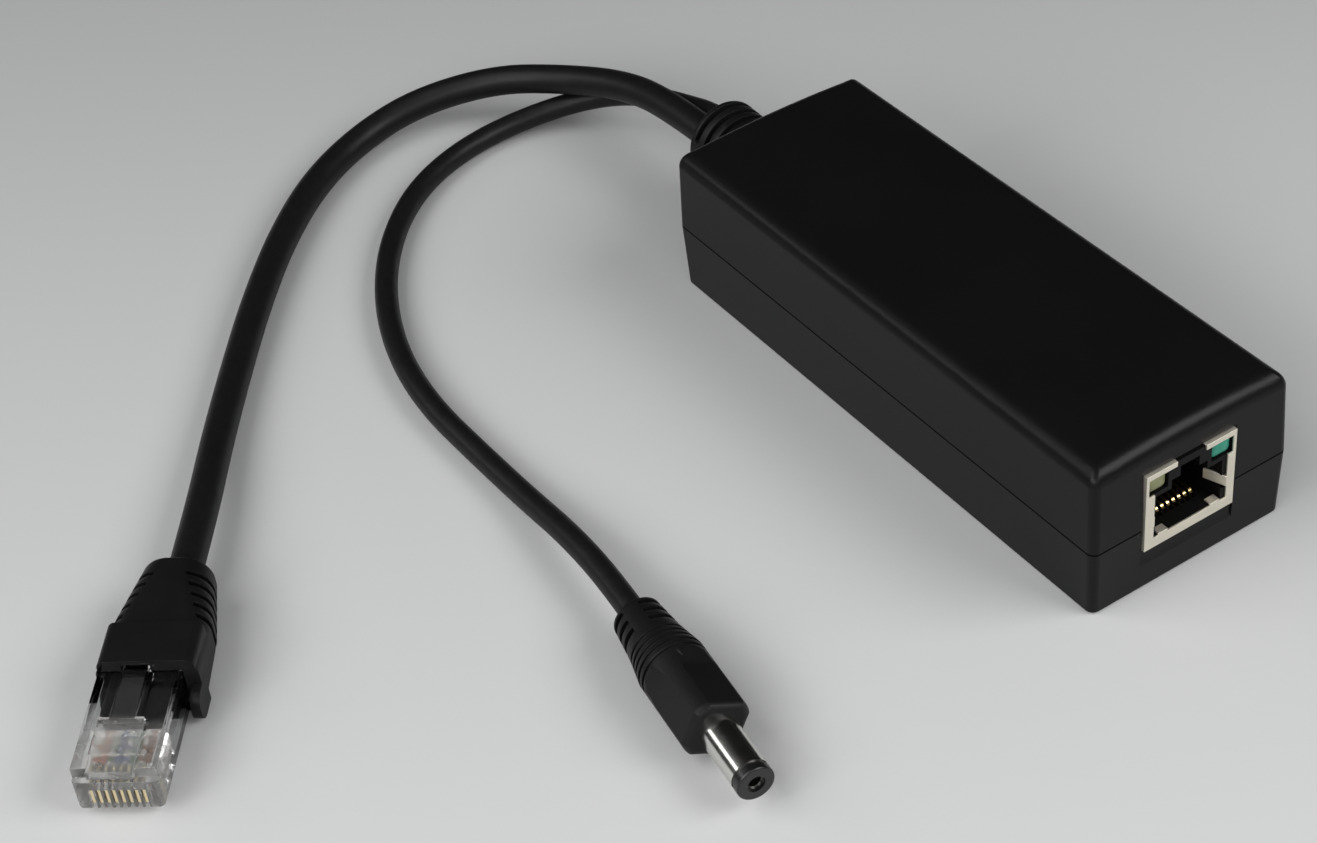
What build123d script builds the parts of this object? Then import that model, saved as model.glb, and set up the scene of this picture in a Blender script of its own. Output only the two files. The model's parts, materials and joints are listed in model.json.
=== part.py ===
from build123d import *
from math import cos, pi, radians, sin, tan
import os

# Two-shell power splitter: a box that takes data and power on one network cord and gives data at a
# shielded jack and power at a round plug.
# Frame: millimetres, +Z up, origin at the centre of the housing's bottom face,
# +X along the housing towards the jack, the two cords leave at the -X end.

# Housing
housing_length = 100.0
housing_width = 36.0
edge_height = 25.0
crown_height = 0.8
parting_height = 11.4
wall = 2.0
corner_radius = 2.9
top_fillet = 2.7
bottom_fillet = 0.5
lower_draft = 0.35
upper_side_draft = 0.35
upper_end_draft = 0.5
parting_groove = 0.25
parting_step = 0.15
lip_height = 1.2
lip_thickness = 0.8
lip_clearance = 0.1
inner_corner_radius = 1.2

# Circuit board on posts of the lower shell, held down by posts of the upper shell
board_end_gap = 1.5
board_side_gap = 0.5
board_thickness = 1.6
board_underside = 5.8
board_corner = 1.0
post_diameter = 5.0
pin_diameter = 2.2
pin_rise = 1.3
pin_clearance = 0.1
post_inset_x = 4.0
post_inset_y = 3.6
hold_down_gap = 0.2
seat_gap = 0.05

# Shielded jack at the +X end
jack_width = 16.1
jack_height = 13.5
jack_depth = 21.3
jack_offset_y = -0.95
jack_face_inset = 0.1
jack_fit = 0.12
shield_thickness = 0.3
shield_gap = 0.05
bar_bottom = 1.7
bar_left = 1.6
bar_right = 1.35
bar_top = 0.9
bar_beside_lamp = 0.5
lamp_width = 3.6
lamp_height = 3.0
lamp_depth = 6.0
lamp_barrel = 3.0
lamp_radius = 1.45
lamp_gap = 0.08
latch_slot_width = 5.2
latch_slot_depth = 1.2
spring_length = 3.4
spring_height = 1.8
spring_reach = 1.3
spring_share = 0.42
spring_root = 0.25
spring_clearance = 0.3
tab_width = 1.7
tab_inset = 0.4
tab_length = 1.3
tab_clearance = 0.05
leg_width = 1.4
leg_drop = 2.6
leg_setback = 8.0
leg_clearance = 0.15
body_inset = 0.4
port_width = 11.9
port_height = 7.0
port_floor = 1.75
port_depth = 14.5
key_width = 6.4
key_height = 1.5
throat_width = 3.4
throat_height = 1.7
contact_count = 8
contact_pitch = 1.016
contact_width = 0.45
contact_thickness = 0.35
contact_side_gap = 0.12
contact_end_gap = 0.4
contact_lift = 0.45
contact_bend = 0.6
contact_setback = 3.2
contact_length = 8.0
contact_rise = 1.25
contact_foot = 1.1

# Shallow pocket around and below the jack
pocket_depth = 0.45
pocket_below_jack = 3.5
pocket_slope = 1.0
pocket_margin = 0.35

# Moulded strain relief at the -X end
gland_height = 12.9
gland_length = 13.2
gland_radius = 6.7
gland_root_radius = 6.4
gland_edge = 0.9
gland_neck = 9.0
gland_neck_corner = 1.5
gland_flange = 10.6
gland_neck_gap = 0.4
gland_flange_thickness = 2.4
gland_seat_clearance = 0.1
slot_pitch = 2.3
slot_width = 1.0
slot_depth = 1.1
slot_count = 3
slot_first = 1.9
slot_rib = 5.0

# Network cord: a fixed length of round cable that lies on the table, from gland to plug boot
network_cord_diameter = 5.1
network_cord_exit_y = -2.0
network_cord_points = [
    (-75.8, -2.0, 12.9), (-88.4, -3.0, 11.9), (-100.9, -8.5, 9.2), (-110.5, -16.4, 7.7),
    (-116.5, -29.1, 5.4), (-116.6, -41.0, 3.0), (-110.2, -53.2, 2.8), (-99.8, -64.9, 2.8),
    (-87.0, -76.2, 2.8), (-73.5, -86.7, 2.8), (-58.5, -97.6, 3.3),
]
network_cord_end = (-32.5, -115.55, 4.9)
network_cord_last_run = 14.2

# Power cord: thinner, passes under the network cord close to the gland
power_cord_diameter = 3.8
power_cord_exit_y = 3.0
power_cord_points = [
    (-68.9, 3.0, 12.9), (-79.2, 2.4, 10.1), (-89.8, 0.3, 7.9), (-98.1, -5.4, 5.2),
    (-103.1, -15.7, 2.8), (-103.2, -26.6, 2.1), (-99.5, -37.2, 2.0), (-92.8, -46.2, 2.0),
    (-83.4, -54.2, 2.0), (-72.2, -60.6, 2.0), (-59.4, -65.2, 2.0), (-46.0, -67.3, 2.0),
    (-32.2, -67.1, 2.0), (-18.4, -66.9, 2.4), (-5.4, -67.2, 4.4),
]
power_cord_end = (14.6, -69.1, 5.05)
power_cord_last_run = 8.4
cord_rounding = 0.45

# Network plug: clear eight-way plug in a black boot, latch up. Lengths run from the boot's rear,
# heights from the cord's axis. The soft boot sits a little to one side on its plug.
network_plug_heading = -36.8
boot_shift = -0.35
plug_shift = -1.3
boot_rear_width = 10.2
boot_rear_height = 9.2
boot_rear_corner = 4.3
boot_rear_edge = 1.0
boot_length = 21.5
boot_waist_x = 11.0
boot_waist_width = 13.9
boot_waist_corner = 3.5
boot_low = -4.7
boot_top = 4.6
boot_front_width = 14.4
boot_front_corner = 2.4
boot_guard_start = 13.9
boot_guard_width = 13.6
boot_guard_top = 5.1
boot_guard_corner = 1.3
boot_guard_roof = 0.7
boot_slot_count = 5
boot_slot_first = 3.6
boot_slot_pitch = 2.05
boot_slot_width = 0.8
boot_slot_depth = 1.5
boot_spine = 1.1
boot_spine_growth = 0.34
boot_slot_low = -3.2
boot_cheek_length = 3.0
boot_cheek_low = -4.3
boot_cheek_height = 4.8
boot_cheek_thickness = 1.4
boot_cheek_round = 1.9
plug_width = 11.7
plug_body_height = 6.6
plug_low = -3.5
plug_start = 18.5
plug_length = 21.5
plug_fit = 0.12
plug_bore_width = 10.0
plug_bore_height = 4.2
plug_bore_floor = 0.9
plug_bore_depth = 13.0
plug_nose_step = 1.0
plug_nose_height = 4.9
plug_nose_chamfer = 0.5
plug_slot_width = 0.6
plug_slot_depth = 3.4
plug_slot_height = 3.4
plug_contact_thickness = 0.4
plug_contact_length = 2.8
plug_contact_height = 3.0
plug_contact_setback = 0.3
plug_contact_round = 0.6
latch_shift = -0.4
latch_width = 6.4
latch_tongue_width = 3.5
latch_thickness = 0.8
latch_hinge = 2.8
latch_hinge_lift = 0.2
latch_wide_length = 6.5
latch_rise = 0.95
latch_end_rise = 0.8
latch_length = 19.8
latch_recess = 0.9
latch_clearance = 0.25
latch_room = 0.3
jacket_length = 12.0
jacket_gap = 0.15
jacket_taper = 2.4
plug_wire_diameter = 0.9
plug_wire_length = 5.8
plug_wire_height = -1.4

# Power plug: moulded grip with a strain relief, nickel sleeve and insulated tip.
# Lengths run from the grip's rear.
power_plug_heading = -7.6
grip_rear_radius = 3.6
grip_rear_edge = 0.6
grip_neck_radius = 4.2
grip_neck_length = 6.6
grip_radius = 5.05
grip_shoulder_length = 4.6
grip_length = 25.2
grip_edge = 1.3
grip_flat = 4.3
grip_flat_start = 13.2
grip_flat_run = 3.2
grip_turn = 64.5
grip_ring_count = 5
grip_ring_first = 7.9
grip_ring_pitch = 1.2
grip_ring_depth = 0.3
grip_ring_width = 0.55
grip_slot_count = 3
grip_slot_first = 1.5
grip_slot_pitch = 1.9
grip_slot_width = 0.9
grip_slot_depth = 0.75
grip_slot_spine = 2.6
grip_spine_turn = 20.0
barrel_radius = 2.75
barrel_length = 10.5
barrel_wall = 0.5
barrel_root = 3.0
barrel_root_step = 0.25
tip_length = 1.7
tip_edge = 0.3
tip_groove = 0.2
tip_groove_width = 0.5
inner_contact_bore = 1.05
inner_contact_radius = 1.3
inner_contact_setback = 0.8

# Parts on the board: length, width and height
magnetics_size = (15.5, 11.5, 6.2)
core_size = (15.0, 7.2, 12.0)
core_limb = 2.5
core_clearance = 0.3
coil_size = (11.0, 12.5, 7.5)
coil_clearance = 0.1
coil_corner = 2.0
transformer_base = 1.6
bridge_size = (4.7, 4.0, 2.5)
controller_size = (10.0, 4.0, 1.7)
controller_lead_count = 8
controller_pitch = 1.27
package_slope = 0.15
package_lead_reach = 0.9
package_lead_width = 0.45
package_lead_thickness = 0.25
diode_size = (4.3, 2.6, 2.3)
coupler_size = (4.6, 6.5, 3.5)
choke_radius = 4.0
choke_height = 6.5
choke_flange = 1.3
choke_waist = 0.8
capacitor_radius = 3.15
capacitor_height = 11.5
capacitor_edge = 0.5
capacitor_groove = 0.3
capacitor_groove_height = 1.6

# Leads between the gland and the board
pair_places = (-4.4, -2.65, -0.9, 0.85)
power_lead_places = {"power_lead_negative": 2.7, "power_lead_positive": 4.3}
lead_diameter = 1.5
power_lead_diameter = 1.4
lead_run = 3.6
lead_bend = 2.4

half_length = housing_length / 2
half_width = housing_width / 2
board_length = housing_length - 2 * (wall + board_end_gap)
board_width = housing_width - 2 * (wall + board_side_gap)
board_top = board_underside + board_thickness
jack_face = half_length - jack_face_inset
jack_rear = jack_face - jack_depth
jack_bottom = board_top + seat_gap
port_bottom = jack_bottom + port_floor
spring_middle = port_bottom + spring_share * port_height
gland_face = -half_length - gland_length
leads_start = -half_length + wall + gland_neck_gap + gland_flange_thickness
inner_top = edge_height - wall


def spread(sizes, low, high):
    """Centres of pieces that stand in a row between two limits, with equal gaps."""
    gap = (high - low - sum(sizes)) / (len(sizes) + 1)
    return [low + gap * (place + 1) + sum(sizes[:place]) + size / 2 for place, size in enumerate(sizes)]


# Layout of the board: four columns from the leads to the jack, and a row across each column
board_side = board_width / 2
controller_span = controller_size[1] + 2 * package_lead_reach
output_x, transformer_x, input_x, data_x = spread(
    [2 * choke_radius, core_size[0], controller_size[0], magnetics_size[0]],
    leads_start + lead_run + lead_diameter / 2,
    jack_rear,
)
choke_y, front_capacitor_y, rear_capacitor_y = spread(
    [2 * choke_radius, 2 * capacitor_radius, 2 * capacitor_radius], -board_side, board_side,
)
diode_y, coupler_y, transformer_y = spread(
    [diode_size[1], coupler_size[1], coil_size[1]], -board_side, board_side,
)
controller_y, bridge_1_y, bridge_2_y, input_capacitor_y = spread(
    [controller_span, bridge_size[1], bridge_size[1], 2 * capacitor_radius], -board_side, board_side,
)
transformer_place = (transformer_x, transformer_y)
bridge_places = ((input_x, bridge_1_y), (input_x, bridge_2_y))
capacitor_places = {
    "input_capacitor": (input_x, input_capacitor_y),
    "output_capacitor_front": (output_x, front_capacitor_y),
    "output_capacitor_rear": (output_x, rear_capacitor_y),
}


def save(shape, name):
    """Writes one piece under its node's name."""
    shape.label = name
    export_step(shape, f"parts/{name}.step")


def slab(x_range, y_range, z_range):
    """A plain block between two corners."""
    size = [high - low for low, high in (x_range, y_range, z_range)]
    centre = [(high + low) / 2 for low, high in (x_range, y_range, z_range)]
    return Pos(*centre) * Box(*size)


def drafted_block(length, width, radius, low, high, end_change, side_change):
    """A rounded block whose plan changes by the given amounts on each side from low to high."""
    foot = Plane.XY.offset(low) * RectangleRounded(length, width, radius)
    head = Plane.XY.offset(high) * RectangleRounded(length + 2 * end_change, width + 2 * side_change, radius)
    return loft([foot, head])


def rounded_bar(x_range, centre_y, centre_z, width, height, radius):
    """A bar along X with a rounded rectangular section."""
    section = Plane.YZ.offset(x_range[0]) * Pos(centre_y, centre_z) * RectangleRounded(width, height, radius)
    return extrude(section, x_range[1] - x_range[0])


def board_posts():
    """Plan places of the posts: one pair beside the gland, one pair behind the jack."""
    rear = -board_length / 2 + post_inset_x
    side = board_width / 2 - post_inset_y
    behind_jack = jack_rear - post_diameter
    return [(rear, side), (rear, -side), (behind_jack, side), (behind_jack, -side)]


# Housing shells

def crown_profile(rise):
    """Side outline of the crowned top, as an arch over the width."""
    side = half_width + 1
    base = Line((-side, 0), (side, 0))
    right = Line((side, 0), (side, edge_height))
    arch = ThreePointArc((side, edge_height), (0, edge_height + rise), (-side, edge_height))
    left = Line((-side, edge_height), (-side, 0))
    return make_face([base, right, arch, left])


def gland_seat():
    """The opening in the end wall that takes the gland's neck, split by the parting line."""
    size = gland_neck + 2 * gland_seat_clearance
    reach = (-half_length - 1, -half_length + wall + 1)
    return rounded_bar(reach, 0, gland_height, size, size, gland_neck_corner)


def jack_window():
    """The opening for the jack, with the shallow pocket that frames it and runs on below it."""
    side = jack_width / 2 + jack_fit
    top = jack_bottom + jack_height + jack_fit
    low = jack_bottom - jack_fit
    hole = slab(
        (half_length - 3 * wall, half_length + 1),
        (jack_offset_y - side, jack_offset_y + side),
        (low, top),
    )
    pocket_side = jack_width / 2 + pocket_margin
    pocket_low = jack_bottom - pocket_below_jack
    outline = Polyline(
        (half_length - pocket_depth, top),
        (half_length + 1, top),
        (half_length + 1, pocket_low),
        (half_length, pocket_low),
        (half_length - pocket_depth, pocket_low + pocket_slope),
        close=True,
    )
    pocket = extrude(Plane.XZ.offset(-jack_offset_y - pocket_side) * make_face(outline), 2 * pocket_side)
    return hole + pocket


def lip_ring(thickness, height):
    """The tongue that stands on the lower shell's inner edge and enters the upper shell."""
    length = housing_length - 2 * (wall - lip_thickness)
    width = housing_width - 2 * (wall - lip_thickness)
    outer = RectangleRounded(length, width, inner_corner_radius + lip_thickness)
    inner = RectangleRounded(length - 2 * thickness, width - 2 * thickness, inner_corner_radius)
    return extrude(Plane.XY.offset(parting_height) * (outer - inner), height)


def parting_cut(low, high):
    """The shallow step that both shells have along the parting line."""
    inner = RectangleRounded(
        housing_length - 2 * parting_groove, housing_width - 2 * parting_groove,
        corner_radius - parting_groove,
    )
    ring = Rectangle(2 * housing_length, 2 * housing_width) - inner
    return extrude(Plane.XY.offset(low) * ring, high - low)


def build_lower_shell():
    shell = drafted_block(
        housing_length - 2 * lower_draft, housing_width - 2 * lower_draft, corner_radius,
        0, parting_height, lower_draft, lower_draft,
    )
    bottom_edges = shell.edges().group_by(Axis.Z)[0]
    shell = fillet(bottom_edges, bottom_fillet)
    shell -= parting_cut(parting_height - parting_step, parting_height + 1)
    cavity = drafted_block(
        housing_length - 2 * wall - 2 * lower_draft, housing_width - 2 * wall - 2 * lower_draft,
        inner_corner_radius, wall, parting_height + 1, lower_draft, lower_draft,
    )
    shell = shell - cavity + lip_ring(lip_thickness, lip_height)
    for x, y in board_posts():
        post_height = board_underside - wall
        shell += Pos(x, y, wall + post_height / 2) * Cylinder(post_diameter / 2, post_height)
        pin_height = board_thickness + pin_rise
        shell += Pos(x, y, board_underside + pin_height / 2) * Cylinder(pin_diameter / 2, pin_height)
    return shell - gland_seat() - jack_window()


def build_upper_shell():
    height = edge_height + crown_height - parting_height
    block = drafted_block(
        housing_length, housing_width, corner_radius,
        parting_height, parting_height + height, -upper_end_draft, -upper_side_draft,
    )
    arch = extrude(Plane.YZ.offset(-half_length - 1) * crown_profile(crown_height), housing_length + 2)
    shell = block & arch
    top_face = shell.faces().sort_by(Axis.Z)[-1]
    shell = fillet(top_face.edges(), top_fillet)
    shell -= parting_cut(parting_height - 1, parting_height + parting_step)
    cavity = drafted_block(
        housing_length - 2 * wall, housing_width - 2 * wall, inner_corner_radius,
        parting_height - 1, inner_top, -upper_end_draft, -upper_side_draft,
    )
    shell = shell - cavity
    groove_thickness = lip_thickness + lip_clearance
    length = housing_length - 2 * (wall - lip_thickness) + 2 * lip_clearance
    width = housing_width - 2 * (wall - lip_thickness) + 2 * lip_clearance
    outer = RectangleRounded(length, width, inner_corner_radius + groove_thickness)
    groove = extrude(Plane.XY.offset(parting_height - 1) * outer, 1 + lip_height + lip_clearance)
    shell = shell - groove
    low = board_top + hold_down_gap
    for x, y in board_posts():
        post = Pos(x, y, (low + inner_top + 1) / 2) * Cylinder(post_diameter / 2, inner_top + 1 - low)
        socket_depth = pin_rise + 2 * hold_down_gap
        socket = Pos(x, y, low + socket_depth / 2) * Cylinder(pin_diameter / 2 + pin_clearance, socket_depth)
        shell += post - socket
    return shell - gland_seat() - jack_window()


# Circuit board and the parts on it

def build_board():
    outline = RectangleRounded(board_length, board_width, board_corner)
    board = extrude(Plane.XY.offset(board_underside) * outline, board_thickness)
    for x, y in board_posts():
        board -= Pos(x, y, board_underside) * Cylinder(pin_diameter / 2 + pin_clearance, 4 * board_thickness)
    for side in (-1, 1):
        board -= leg(side, leg_clearance)
    return board


def placed(size, place, base=seat_gap):
    """The corner ranges of a part that stands on the board."""
    x, y = place
    length, width, height = size
    low = board_top + base
    return (x - length / 2, x + length / 2), (y - width / 2, y + width / 2), (low, low + height)


def moulded_package(size, place):
    """A moulded package with a sloped top edge."""
    body = slab(*placed(size, place))
    return chamfer(body.edges().group_by(Axis.Z)[-1], package_slope * min(size))


def package_with_leads(size, place, per_side, pitch):
    """A moulded package with flat leads along both long sides."""
    body = moulded_package(size, place)
    low = board_top + seat_gap
    reach = size[1] / 2 + package_lead_reach
    for index in range(per_side):
        x = place[0] + (index - (per_side - 1) / 2) * pitch
        body += slab(
            (x - package_lead_width / 2, x + package_lead_width / 2),
            (place[1] - reach, place[1] + reach),
            (low, low + package_lead_thickness),
        )
    return body


def transformer_middle():
    """Height of the core's middle above the housing's foot."""
    return board_top + transformer_base + core_size[2] / 2


def build_transformer_core():
    """Two ferrite halves around the coil, closed into one frame with a middle limb."""
    x, y = transformer_place
    middle = transformer_middle()
    frame = slab(*placed(core_size, transformer_place, transformer_base))
    window = (coil_size[0] - core_limb) / 2
    half_height = coil_size[2] / 2 + core_clearance
    for side in (-1, 1):
        centre = x + side * (core_limb + window) / 2
        frame -= slab(
            (centre - window / 2, centre + window / 2),
            (y - core_size[1], y + core_size[1]),
            (middle - half_height, middle + half_height),
        )
    return frame


def build_transformer_coil():
    """The wound bobbin that fills the core's windows."""
    x, y = transformer_place
    middle = transformer_middle()
    half_length_of_coil = coil_size[0] / 2 - 2 * coil_clearance
    coil = slab(
        (x - half_length_of_coil, x + half_length_of_coil),
        (y - coil_size[1] / 2, y + coil_size[1] / 2),
        (middle - coil_size[2] / 2, middle + coil_size[2] / 2),
    )
    coil = fillet(coil.edges().filter_by(Axis.X), coil_corner)
    passage = slab(
        (x - core_limb / 2 - coil_clearance, x + core_limb / 2 + coil_clearance),
        (y - core_size[1] / 2 - coil_clearance, y + core_size[1] / 2 + coil_clearance),
        (middle - coil_size[2], middle + coil_size[2]),
    )
    return coil - passage


def build_transformer_foot():
    """The bobbin's foot, which lifts the core off the board."""
    size = (core_size[0], coil_size[1], transformer_base - 2 * seat_gap)
    return slab(*placed(size, transformer_place))


def build_capacitor(place):
    """A can with a rolled groove near its foot and a rounded edge on top."""
    x, y = place
    low = board_top + seat_gap
    can = Pos(x, y, low + capacitor_height / 2) * Cylinder(capacitor_radius, capacitor_height)
    can = fillet(can.edges().group_by(Axis.Z)[-1], capacitor_edge)
    ring = Torus(capacitor_radius + capacitor_groove, 2 * capacitor_groove)
    return can - Pos(x, y, low + capacitor_groove_height) * ring


def build_choke():
    """A wound drum core, waisted between its two flanges."""
    low = board_top + seat_gap
    drum = Pos(0, 0, choke_flange / 2) * Cylinder(choke_radius, choke_flange)
    drum += Pos(0, 0, choke_height / 2) * Cylinder(choke_radius - choke_waist, choke_height)
    drum += Pos(0, 0, choke_height - choke_flange / 2) * Cylinder(choke_radius, choke_flange)
    return Pos(output_x, choke_y, low) * drum


# Jack

def leg(side, grow):
    """One solder leg of the shield, or its slot in the board when grown."""
    x = jack_face - leg_setback
    inner = jack_width / 2 - shield_thickness
    y_low = inner - grow
    y_high = jack_width / 2 + grow
    low, high = (y_low, y_high) if side > 0 else (-y_high, -y_low)
    return slab(
        (x - leg_width / 2 - grow, x + leg_width / 2 + grow),
        (jack_offset_y + low, jack_offset_y + high),
        (jack_bottom - leg_drop - grow, jack_bottom + grow + shield_thickness),
    )


def spring(side):
    """A contact finger folded back from the shield's front into the port."""
    root = jack_offset_y + side * (jack_width / 2 - (bar_right if side > 0 else bar_left))
    tip = root - side * spring_reach
    outline = Polyline(
        (jack_face - shield_thickness, root + side * spring_root),
        (jack_face, root + side * spring_root),
        (jack_face, root - side * shield_thickness / 3),
        (jack_face - spring_length, tip),
        (jack_face - spring_length, tip + side * shield_thickness),
        (jack_face - shield_thickness, root),
        close=True,
    )
    return extrude(Plane.XY.offset(spring_middle - spring_height / 2) * make_face(outline), spring_height)


def floor_tab(side):
    """A short tab folded in over the port's floor."""
    outer = jack_offset_y + side * (port_width / 2 - tab_inset)
    inner = outer - side * tab_width
    across_port = (min(inner, outer), max(inner, outer))
    low = port_bottom + tab_clearance
    tab = slab((jack_face - tab_length, jack_face), across_port, (low, low + shield_thickness))
    root_low = jack_bottom + bar_bottom - shield_thickness
    root = slab((jack_face - shield_thickness, jack_face), across_port, (root_low, low + shield_thickness))
    return tab + root


def build_jack_shield():
    """Folded sheet around the jack: sides, top, back and the pierced front frame."""
    left = jack_offset_y - jack_width / 2
    right = jack_offset_y + jack_width / 2
    top = jack_bottom + jack_height
    t = shield_thickness
    through_front = (jack_face - 2 * t, jack_face + 1)
    shell = slab((jack_rear, jack_face), (left, right), (jack_bottom, top))
    shell -= slab((jack_rear + t, jack_face - t), (left + t, right - t), (jack_bottom - 1, top - t))
    port_rows = (jack_bottom + bar_bottom, top - bar_top)
    shell -= slab(through_front, (left + bar_left, right - bar_right), port_rows)
    lamp_rows = (top - bar_top - lamp_height, top - bar_top)
    shell -= slab(through_front, (left + bar_beside_lamp, left + bar_left + 1), lamp_rows)
    shell -= slab(through_front, (right - bar_right - 1, right - bar_beside_lamp), lamp_rows)
    shell -= slab(
        (jack_face - latch_slot_depth, jack_face + 1),
        (jack_offset_y - latch_slot_width / 2, jack_offset_y + latch_slot_width / 2),
        (top - bar_top - 1, top + 1),
    )
    for side in (-1, 1):
        shell = shell + leg(side, 0) + spring(side) + floor_tab(side)
    return shell


def build_jack_body():
    """Moulded insulator with the port, its latch keyway and a seat for each lamp."""
    gap = shield_gap
    half = jack_width / 2 - shield_thickness - gap
    front = jack_face - shield_thickness - gap
    rear = jack_rear + shield_thickness + gap
    top = jack_bottom + jack_height - shield_thickness - gap
    body = slab((rear, front), (jack_offset_y - half, jack_offset_y + half), (jack_bottom, top))
    steps = [
        (port_width, port_height),
        (key_width, port_height + key_height),
        (throat_width, port_height + key_height + throat_height),
    ]
    for width, height in steps:
        body -= slab(
            (front - port_depth, front + 1),
            (jack_offset_y - width / 2, jack_offset_y + width / 2),
            (port_bottom, port_bottom + height),
        )
    for side in (-1, 1):
        body -= lamp_block(side, lamp_gap)
        body -= spring_room(side)
    for index in range(contact_count):
        y = contact_y(index)
        half_slot = contact_width / 2 + contact_side_gap
        body -= slab(
            (front - port_depth, jack_face - contact_setback + contact_end_gap),
            (y - half_slot, y + half_slot),
            (port_bottom - contact_foot, port_bottom + contact_foot),
        )
    return body


def spring_room(side):
    """Space in the port's side wall for the shield's contact finger."""
    outer = jack_offset_y + side * jack_width / 2
    inner = jack_offset_y + side * (port_width / 2 - 1)
    half_height = spring_height / 2 + spring_clearance
    return slab(
        (jack_face - spring_length - 2 * spring_clearance, jack_face),
        (min(inner, outer), max(inner, outer)),
        (spring_middle - half_height, spring_middle + half_height),
    )


def lamp_block(side, grow):
    """One indicator lens behind its window, or its seat when grown."""
    half = jack_width / 2 - bar_beside_lamp
    top = jack_bottom + jack_height - bar_top
    outer = jack_offset_y + side * (half + grow)
    inner = jack_offset_y + side * (half - lamp_width - grow)
    front = jack_face - shield_thickness - shield_gap
    return slab(
        (front - lamp_depth - grow, front + grow),
        (min(inner, outer), max(inner, outer)),
        (top - lamp_height - grow, top + grow),
    )


def build_lamp(side):
    """A lamp with a square foot and a domed round front."""
    block = lamp_block(side, 0)
    box = block.bounding_box()
    foot = slab((box.min.X, box.max.X - lamp_barrel), (box.min.Y, box.max.Y), (box.min.Z, box.max.Z))
    y = jack_offset_y + side * (jack_width / 2 - bar_beside_lamp - lamp_radius - lamp_gap)
    start = box.max.X - lamp_barrel
    barrel_profile = make_face([
        Line((start - 1, 0), (box.max.X - lamp_radius, 0)),
        Line((box.max.X - lamp_radius, 0), (box.max.X, 0)),
        CenterArc((box.max.X - lamp_radius, 0), lamp_radius, 0, 90),
        Line((box.max.X - lamp_radius, lamp_radius), (start - 1, lamp_radius)),
        Line((start - 1, lamp_radius), (start - 1, 0)),
    ])
    barrel = revolve(barrel_profile, Axis.X)
    return foot + Pos(0, y, (box.min.Z + box.max.Z) / 2) * barrel


def contact_y(index):
    """Place of one contact across the jack."""
    return jack_offset_y + (index - (contact_count - 1) / 2) * contact_pitch


def build_jack_contact(index):
    """A flat wire that bends up out of the floor near the mouth and rises towards the back."""
    start = jack_face - contact_setback - contact_thickness / 2
    y = contact_y(index)
    path = FilletPolyline(
        (start, y, port_bottom - contact_foot + contact_side_gap),
        (start, y, port_bottom + contact_lift),
        (start - contact_length, y, port_bottom + contact_rise),
        radius=contact_bend,
    )
    start_plane = Plane(origin=path @ 0, x_dir=(1, 0, 0), z_dir=path % 0)
    return sweep(start_plane * Rectangle(contact_thickness, contact_width), path=path)


# Gland

def build_gland():
    """Round ribbed strain relief outside, square neck in the wall, flange inside."""
    outer = Cone(gland_root_radius, gland_radius, gland_length)
    outer = fillet(outer.edges().group_by(Axis.Z)[-1], gland_edge)
    outer = Pos(-half_length - gland_length / 2, 0, gland_height) * Rot(0, -90, 0) * outer
    for index in range(slot_count):
        x = gland_face + slot_first + index * slot_pitch
        ring = Circle(2 * gland_radius) - Circle(gland_radius - slot_depth)
        cutter = extrude(Plane.YZ.offset(x - slot_width / 2) * Pos(0, gland_height) * ring, slot_width)
        spine = slab(
            (x - slot_width, x + slot_width),
            (-2 * gland_radius, 2 * gland_radius),
            (gland_height - slot_rib / 2, gland_height + slot_rib / 2),
        )
        outer -= cutter - spine
    through_wall = (-half_length, -half_length + wall + gland_neck_gap)
    neck = rounded_bar(through_wall, 0, gland_height, gland_neck, gland_neck, gland_neck_corner)
    flange = rounded_bar(
        (-half_length + wall + gland_neck_gap, -half_length + wall + gland_neck_gap + gland_flange_thickness),
        0, gland_height, gland_flange, gland_flange, gland_neck_corner,
    )
    return outer + neck + flange


# Cords

def corner_radii(points):
    """The largest tangent arc that each corner's two runs allow."""
    radii = []
    for before, corner, after in zip(points, points[1:], points[2:]):
        arriving = Vector(*corner) - Vector(*before)
        leaving = Vector(*after) - Vector(*corner)
        turn = radians(arriving.get_angle(leaving))
        radii.append(cord_rounding * min(arriving.length, leaving.length) / tan(turn / 2))
    return radii


def build_cord(points, diameter, name):
    """A round tube along straight runs joined by tangent arcs."""
    radii = corner_radii(points)
    path = FilletPolyline(*points, radius=radii)
    section = Plane(origin=path @ 0, z_dir=path % 0) * Circle(diameter / 2)
    tube = sweep(section, path=path)
    expected = path.length * pi * diameter ** 2 / 4
    print(name, "length", round(path.length, 1), "volume ratio", round(tube.volume / expected, 5))
    print(name, "arc radii", [round(radius, 1) for radius in radii])
    return tube


def before_plug(end, heading, run):
    """The route's last corner, straight behind the plug."""
    return end[0] - run * cos(radians(heading)), end[1] - run * sin(radians(heading)), end[2]


def network_cord_route():
    start = (gland_face, network_cord_exit_y, gland_height)
    last = before_plug(network_cord_end, network_plug_heading, network_cord_last_run)
    return [start, *network_cord_points, last, network_cord_end]


def power_cord_route():
    start = (gland_face, power_cord_exit_y, gland_height)
    last = before_plug(power_cord_end, power_plug_heading, power_cord_last_run)
    return [start, *power_cord_points, last, power_cord_end]


# Network plug

def plug_place(shift):
    """Local frame of the network plug: X forwards, Z up, from the end of the cord."""
    return Location(network_cord_end, (0, 0, network_plug_heading)) * Location((0, shift, 0))


def sleeve_section(x, width, low, high, radius):
    """A rounded section of the boot at one distance from its rear."""
    return Plane.YZ.offset(x) * Pos(0, (low + high) / 2) * RectangleRounded(width, high - low, radius)


def across(inner, side, outer):
    """The range from an inner to an outer distance on one side."""
    return (inner, outer) if side > 0 else (-outer, -inner)


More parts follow.
